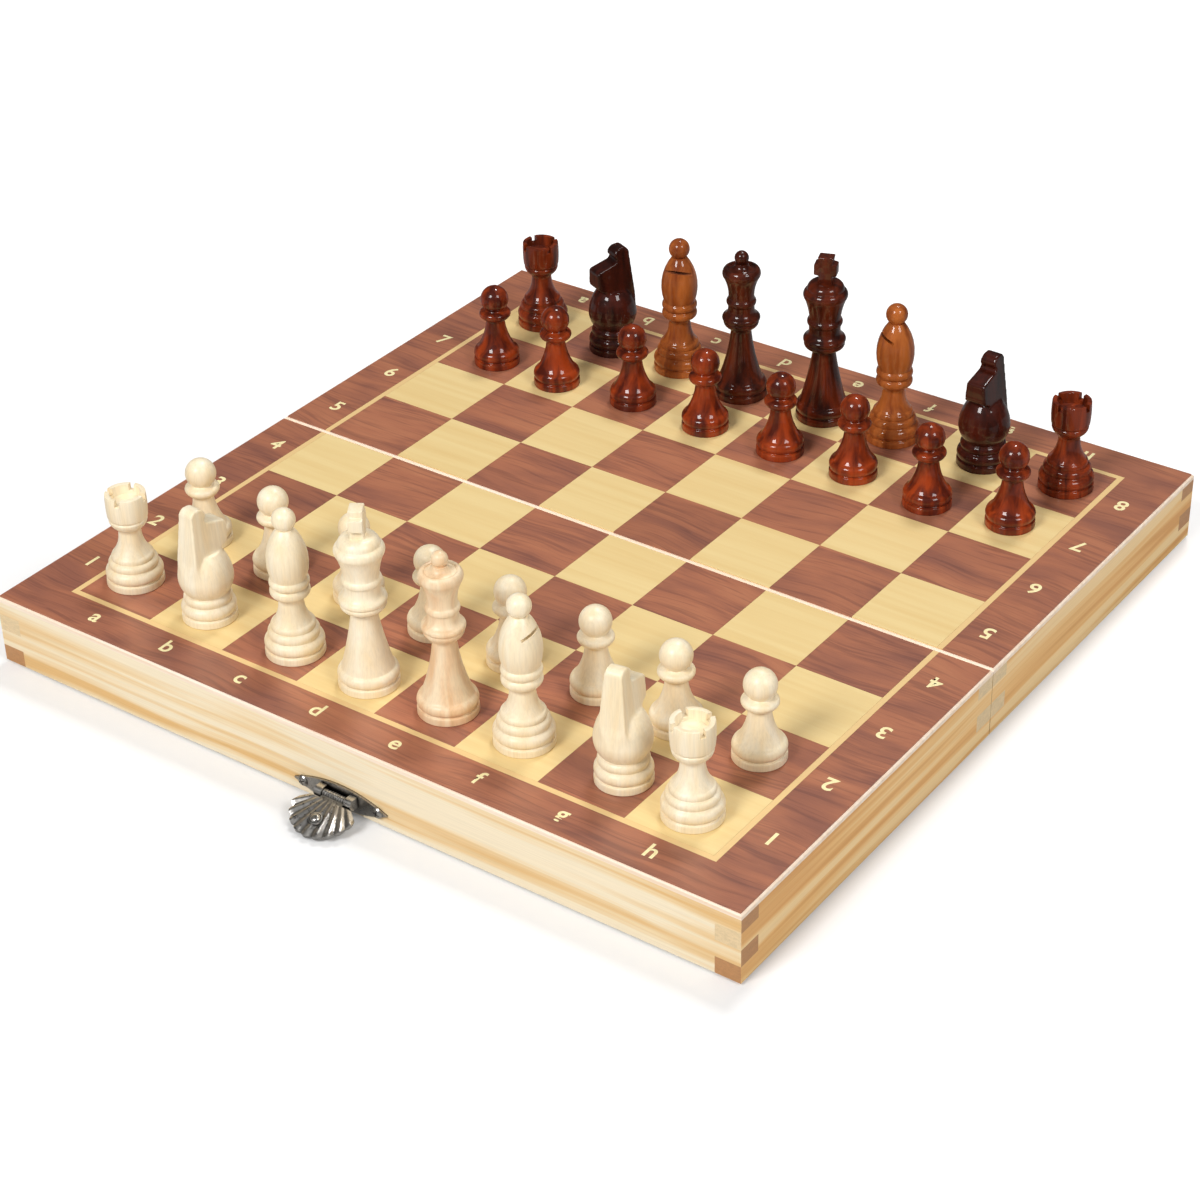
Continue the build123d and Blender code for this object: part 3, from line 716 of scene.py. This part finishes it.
def manMesh(kind):
    if kind == "knight":
        return meshFrom(kind, knightForm(), 60)
    form = lathe(manOutline(kind), magnet=footLook["metalEdge"])
    if kind == "rook":
        width = rookNotch["width"]
        lift = Matrix.Translation((0, 0, (rookNotch["floor"] + 5) * mm))
        cutters = [bladeBlock((30, width, 10), lift), bladeBlock((width, 30, 10), lift)]
        form = carve(form, cutters, "DIFFERENCE")
    if kind == "bishop":
        tilt = Matrix.Rotation(-math.radians(bishopSlot["slope"]), 4, "Y")
        shift = Matrix.Translation(((bishopSlot["bottom"] + 10) * mm, 0, 0))
        lift = Matrix.Translation((0, 0, bishopSlot["height"] * mm))
        form = carve(form, [bladeBlock((20, 20, bishopSlot["width"]), lift @ tilt @ shift)], "DIFFERENCE")
    if kind == "king":
        crossForm(form)
    return meshFrom(kind, form, 38)


# The way each man faces, in degrees from +X. The others turn by the lengths of their names.
facing = {
    "white_rook_a": 20, "white_knight_b": 86, "white_bishop_c": 126, "white_king_d": 122,
    "white_bishop_f": 20, "white_knight_g": 98, "white_rook_h": 60, "black_rook_a": 65,
    "black_knight_b": 246, "black_bishop_c": 288, "black_king_e": 20, "black_bishop_f": 222,
    "black_knight_g": 268, "black_rook_h": 80,
}
turnPerLetter = 17
menMeshes = {kind: manMesh(kind) for kind in feet}
for node in sorted(nodes):
    colour, kind = (node.split("_") + ["", ""])[:2]
    if kind not in menMeshes:
        continue
    low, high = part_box(node)
    wood = blackWoods[kind] if colour == "black" else whiteWood
    if node == "white_queen_e":
        wood = tanWood
    mesh = menMeshes[kind].copy()
    mesh.name = node + ".mesh"
    mesh.materials.append(wood)
    mesh.materials.append(magnetMetal)
    man = bpy.data.objects.new("turned." + node, mesh)
    bpy.context.scene.collection.objects.link(man)
    man.location = ((low[0] + high[0]) / 2, (low[1] + high[1]) / 2, low[2])
    man.rotation_euler = (0, 0, math.radians(facing.get(node, turnPerLetter * len(node))))
    bpy.context.view_layer.update()
    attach(man, node)
    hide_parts(node)
for mesh in menMeshes.values():
    bpy.data.meshes.remove(mesh)
print("men set out")


# Latch: a scallop shell with raised flutes, a barrel and a domed boss, and the screws

shellLook = {
    "axisY": -140.65,
    "axisZ": 5.4,
    "reach": 14.95,
    "focus": 4.2,
    "halfAngle": 50.0,
    "shortening": 0.28,
    "flutes": 9,
    "scallop": 0.7,
    "thickness": 0.9,
    "flute": 0.8,  # height of a flute at the shell's edge
    "start": 2.4,
    "slope": 18.2,
}


def shellPoint(angle, share):
    look = shellLook
    full = look["reach"] + look["focus"]
    radius = full * (1 - look["shortening"] * (angle / look["halfAngle"]) ** 2)
    step = 2 * look["halfAngle"] / look["flutes"]
    phase = ((angle + look["halfAngle"]) / step) % 1.0
    crown = math.sin(math.pi * phase)
    radius += look["scallop"] * crown
    foot = (look["start"] + look["focus"]) / math.cos(math.radians(angle))
    at = foot + (radius - foot) * share
    turn = math.radians(angle)
    width = 0.25 + 0.75 * share
    edgeFall = 0.16 * max(0.0, share - 0.9) / 0.1
    lift = look["thickness"] / 2 + look["flute"] * width * crown ** 1.5 - edgeFall
    return at * math.sin(turn), at * math.cos(turn) - look["focus"], lift


def shellForm():
    look = shellLook
    form = bmesh.new()
    across = look["flutes"] * 10
    along = 16
    top, under = [], []
    for i in range(across + 1):
        angle = -look["halfAngle"] + 2 * look["halfAngle"] * i / across
        upper, lower = [], []
        for j in range(along + 1):
            x, y, lift = shellPoint(angle, j / along)
            upper.append(form.verts.new((x * mm, y * mm, lift * mm)))
            lower.append(form.verts.new((x * mm, y * mm, -look["thickness"] / 2 * mm)))
        top.append(upper)
        under.append(lower)
    for i in range(across):
        for j in range(along):
            form.faces.new([top[i][j], top[i + 1][j], top[i + 1][j + 1], top[i][j + 1]])
            form.faces.new([under[i][j], under[i][j + 1], under[i + 1][j + 1], under[i + 1][j]])
        for j in (0, along):
            form.faces.new([top[i][j], top[i + 1][j], under[i + 1][j], under[i][j]])
    for i in (0, across):
        for j in range(along):
            form.faces.new([top[i][j], top[i][j + 1], under[i][j + 1], under[i][j]])
    return form


leverLook = {
    "neck": (8.4, 3.6, 0.9),
    "neckAt": 1.6,
    "barrel": 1.3,  # radius, and below it the radius in the grooves
    "groove": 1.12,
    "halfLength": 4.2,
    "grooves": 9,
    "pitch": 0.9,
    "dome": [[(2.2, 0.9)], [(1.75, 1.0)], [(1.6, 0.85)], [(1.3, 1.35), (0, 1.6)]],
    "domeAt": (0, 9.4, 0.35),
}


def leverMesh():
    look = leverLook
    form = shellForm()
    neck = bladeBlock(look["neck"], Matrix.Translation((0, look["neckAt"] * mm, 0)))
    joinForm(form, neck)
    radius, groove, end = look["barrel"], look["groove"], look["halfLength"]
    ribs = [[(radius, -end)]]
    for n in range(look["grooves"]):
        at = -3.9 + look["pitch"] * n
        ribs += [[(radius, at)], [(groove, at + 0.15)], [(groove, at + 0.25)], [(radius, at + 0.4)]]
    barrel = follow((0, -end), ribs + [[(radius, end)], [(0, end)]])
    roll = lathe(barrel, 40)
    roll.transform(Matrix.Rotation(math.pi / 2, 4, "Y"))
    joinForm(form, roll)
    boss = lathe(follow((2.3, 0), look["dome"]), 40)
    boss.transform(Matrix.Translation([v * mm for v in look["domeAt"]]))
    joinForm(form, boss)
    place = Matrix.Translation((0, shellLook["axisY"] * mm, shellLook["axisZ"] * mm))
    turnDown = Matrix.Rotation(math.radians(shellLook["slope"]), 4, "X")
    form.transform(place @ turnDown @ Matrix.Rotation(math.pi, 4, "Z"))
    return meshFrom("shell", form, 50)


addPiece("shellLever", leverMesh(), "latch_lever", silver, ("latch_lever",))


def screwForm(radius, height, turn):
    # a low domed head with a cross cut in it, its axis along Z
    points = follow((radius, -0.3), [[(radius, 0.08)], [(radius * 0.75, height * 0.8), (0, height)]])
    head = lathe([(0, -0.3)] + points, 32)
    lift = Matrix.Translation((0, 0, (height + 0.1) * mm)) @ Matrix.Rotation(turn, 4, "Z")
    length, width, depth = 1.3 * radius, 0.3, 0.7 * height + 0.2
    blades = [bladeBlock((length, width, depth), lift), bladeBlock((width, length, depth), lift)]
    return carve(head, blades, "DIFFERENCE")


def screws(name, body, look):
    form = bmesh.new()
    for number, x in enumerate((-look["apart"], look["apart"])):
        one = screwForm(look["radius"], look["height"], 0.5 + 0.8 * number)
        place = Matrix.Translation([v * mm for v in (x, look["y"], look["z"])])
        one.transform(place @ Matrix.Rotation(look["turn"], 4, "X"))
        joinForm(form, one)
    addPiece(name, meshFrom(name, form, 30), body, silver)


# apart is from the middle to each screw of the pair
latchScrews = {"radius": 1.85, "height": 0.7, "apart": 14.2, "y": -138.85, "z": 4.5, "turn": math.pi / 2}
keeperScrews = {"radius": 1.2, "height": 0.45, "apart": 4.9, "y": 138.65, "z": 4.0, "turn": -math.pi / 2}
screws("latchScrews", "front_half", latchScrews)
screws("keeperScrews", "rear_half", keeperScrews)
print("latch and screws made")


# Stage, lights and camera

floorLook = {
    "cloth": 0.78,
    "glossyLess": 0.45,  # how much darker the floor is in reflections
    "centre": (0, -0.15, 0),
    "near": 0.12,  # the glow that only the camera sees grows from here
    "far": 0.42,
    "glow": (0.1, 0.45),
    "size": 4.0,
}


def floorMaterial():
    # white to the camera, yet it keeps the shadow, and clear from below
    material = bpy.data.materials.new("whiteFloor")
    material.use_nodes = True
    tree = material.node_tree
    tree.nodes.clear()
    rays = addNode(tree, "LightPath")
    place = addNode(tree, "TexCoord").outputs["Object"]
    away = addNode(tree, "VectorMath", {0: place, 1: floorLook["centre"]}, operation="DISTANCE")
    least, most = floorLook["glow"]
    reach = {0: away.outputs["Value"], 1: floorLook["near"], 2: floorLook["far"], 3: least, 4: most}
    amount = addNode(tree, "MapRange", reach).outputs[0]
    less = calc(tree, "MULTIPLY", rays.outputs["Is Glossy Ray"], floorLook["glossyLess"])
    cloth = addNode(tree, "BsdfDiffuse", {0: calc(tree, "SUBTRACT", floorLook["cloth"], less)})
    seen = calc(tree, "MULTIPLY", rays.outputs["Is Camera Ray"], amount)
    glow = addNode(tree, "Emission", {0: level(1), 1: seen})
    both = addNode(tree, "AddShader", {0: cloth.outputs[0], 1: glow.outputs[0]})
    clear = addNode(tree, "BsdfTransparent")
    below = addNode(tree, "NewGeometry").outputs["Backfacing"]
    oneWay = addNode(tree, "MixShader", {0: below, 1: both.outputs[0], 2: clear.outputs[0]})
    out = addNode(tree, "OutputMaterial")
    tree.links.new(oneWay.outputs[0], out.inputs[0])
    return material


floorForm = bmesh.new()
bmesh.ops.create_grid(floorForm, x_segments=1, y_segments=1, size=floorLook["size"])
floorMesh = bpy.data.meshes.new("floor")
floorForm.to_mesh(floorMesh)
floorForm.free()
floorMesh.materials.append(floorMaterial())
floor = bpy.data.objects.new("floor", floorMesh)
floor.location = (0, 0, cadBox[0][2] - 0.00005)
bpy.context.scene.collection.objects.link(floor)

worldLook = {"around": 0.22, "glossyLess": 0.16, "seen": 1.0}
world = bpy.data.worlds.new("studio")
bpy.context.scene.world = world
world.use_nodes = True
tree = world.node_tree
tree.nodes.clear()
rays = addNode(tree, "LightPath")
less = calc(tree, "MULTIPLY", rays.outputs["Is Glossy Ray"], worldLook["glossyLess"])
around = calc(tree, "SUBTRACT", worldLook["around"], less)
plain = addNode(tree, "Background", {0: level(1), 1: around})
white = addNode(tree, "Background", {0: level(1), 1: worldLook["seen"]})
choice = {0: rays.outputs["Is Camera Ray"], 1: plain.outputs[0], 2: white.outputs[0]}
which = addNode(tree, "MixShader", choice)
out = addNode(tree, "OutputWorld")
tree.links.new(which.outputs[0], out.inputs[0])

# Azimuth is measured from -Y towards +X, as the camera's is
lamps = {
    "leftBox": {"azimuth": -6, "elevation": 42, "distance": 2.4, "size": 0.72, "power": 35.0},
    "rightBox": {"azimuth": 76, "elevation": 42, "distance": 2.4, "size": 0.72, "power": 18.5},
    "overhead": {"azimuth": 190, "elevation": 66, "distance": 2.4, "size": 0.4, "power": 18.0},
}
for name, look in lamps.items():
    lamp = bpy.data.lights.new(name, "AREA")
    lamp.energy = look["power"]
    lamp.size = look["size"]
    turn, lift = math.radians(look["azimuth"]), math.radians(look["elevation"])
    out = Vector((math.sin(turn) * math.cos(lift), -math.cos(turn) * math.cos(lift), math.sin(lift)))
    lampObject = bpy.data.objects.new(name, lamp)
    lampObject.location = out * look["distance"]
    lampObject.rotation_euler = out.to_track_quat("Z", "Y").to_euler()
    bpy.context.scene.collection.objects.link(lampObject)

cameraLook = {
    "azimuth": 36.263,
    "elevation": 33.092,
    "roll": -1.412,
    "distance": 860.4,
    "target": (19.95, -34.35, 24.0),
    "lens": 82.703,
}
turn, lift = math.radians(cameraLook["azimuth"]), math.radians(cameraLook["elevation"])
roll = math.radians(cameraLook["roll"])
back = Vector((math.sin(turn) * math.cos(lift), -math.cos(turn) * math.cos(lift), math.sin(lift)))
right = Vector((math.cos(turn), math.sin(turn), 0))
up = back.cross(right)
tiltedRight = math.cos(roll) * right + math.sin(roll) * up
tiltedUp = -math.sin(roll) * right + math.cos(roll) * up
camera = bpy.data.cameras.new("camera")
camera.lens = cameraLook["lens"]
camera.sensor_width = 36
camera.sensor_fit = "HORIZONTAL"
camera.clip_start = 0.01
cameraObject = bpy.data.objects.new("camera", camera)
pose = Matrix((tiltedRight, tiltedUp, back)).transposed().to_4x4()
pose.translation = (Vector(cameraLook["target"]) + back * cameraLook["distance"]) * mm
cameraObject.matrix_world = pose
bpy.context.scene.collection.objects.link(cameraObject)
bpy.context.scene.camera = cameraObject
bpy.context.scene.view_settings.view_transform = "Standard"
print("stage, lights and camera set")
